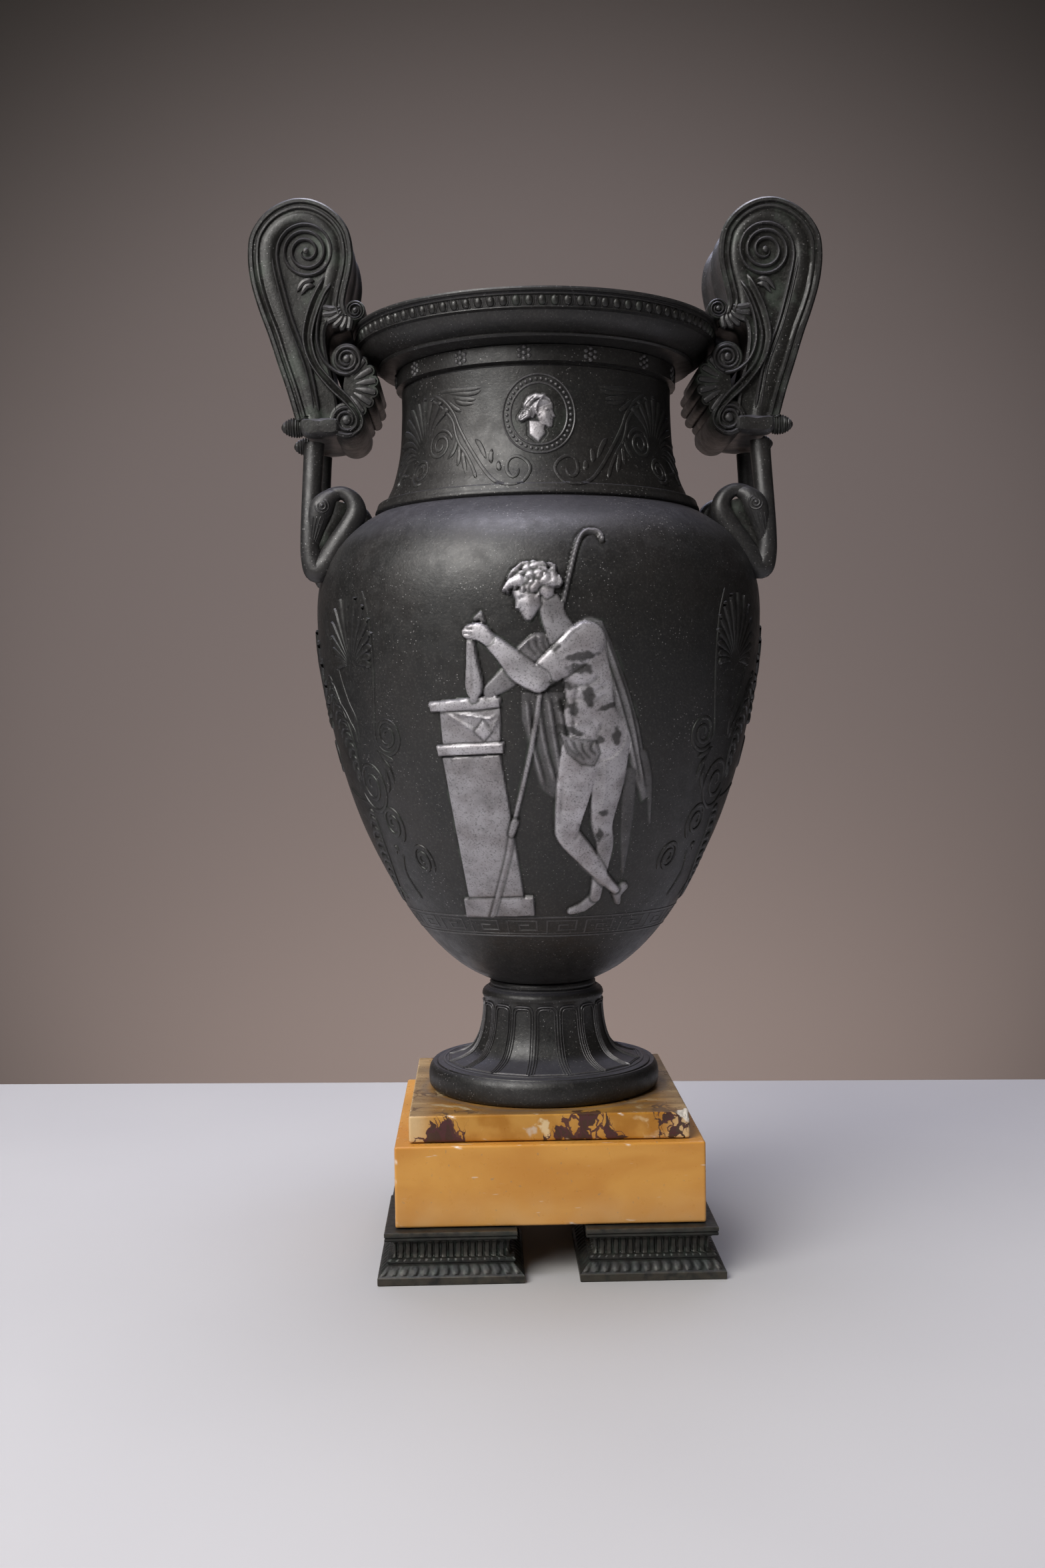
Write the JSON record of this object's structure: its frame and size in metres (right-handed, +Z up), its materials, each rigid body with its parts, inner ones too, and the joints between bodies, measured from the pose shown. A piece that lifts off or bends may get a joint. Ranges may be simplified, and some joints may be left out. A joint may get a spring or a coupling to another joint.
{
  "type": "volute krater vase on plinth",
  "caption": "Patinated bronze volute krater with swan-neck handles and a figure in low relief, on a stepped marble plinth with moulded bronze feet.",
  "frame": {"origin": "centre of the footprint, on the floor under the four bronze feet", "axes": "+Z up, -Y to the side with the relief figure, +X to the viewer's right, with the two handles on the X axis"},
  "size_m": [0.1908, 0.1524, 0.352],
  "materials": {
    "vessel_bronze": "dark brown-black patina, satin, rubbed paler on the relief",
    "foot_bronze": "greenish brown patina, worn on the edges",
    "veined_marble": "honed, dark purple veins and cream patches",
    "ochre_marble": "honed, cloudy ochre"
  },
  "bodies": {
    "root": {"krater_body": "vessel_bronze", "krater_neck": "vessel_bronze", "krater_foot": "vessel_bronze", "handle_left": "vessel_bronze", "handle_right": "vessel_bronze", "swan_left_front": "vessel_bronze", "swan_left_back": "vessel_bronze", "swan_right_front": "vessel_bronze", "swan_right_back": "vessel_bronze", "plinth_slab": "veined_marble", "plinth_block": "ochre_marble", "foot_front_left": "foot_bronze", "foot_front_right": "foot_bronze", "foot_back_left": "foot_bronze", "foot_back_right": "foot_bronze"}
  },
  "joints": []
}
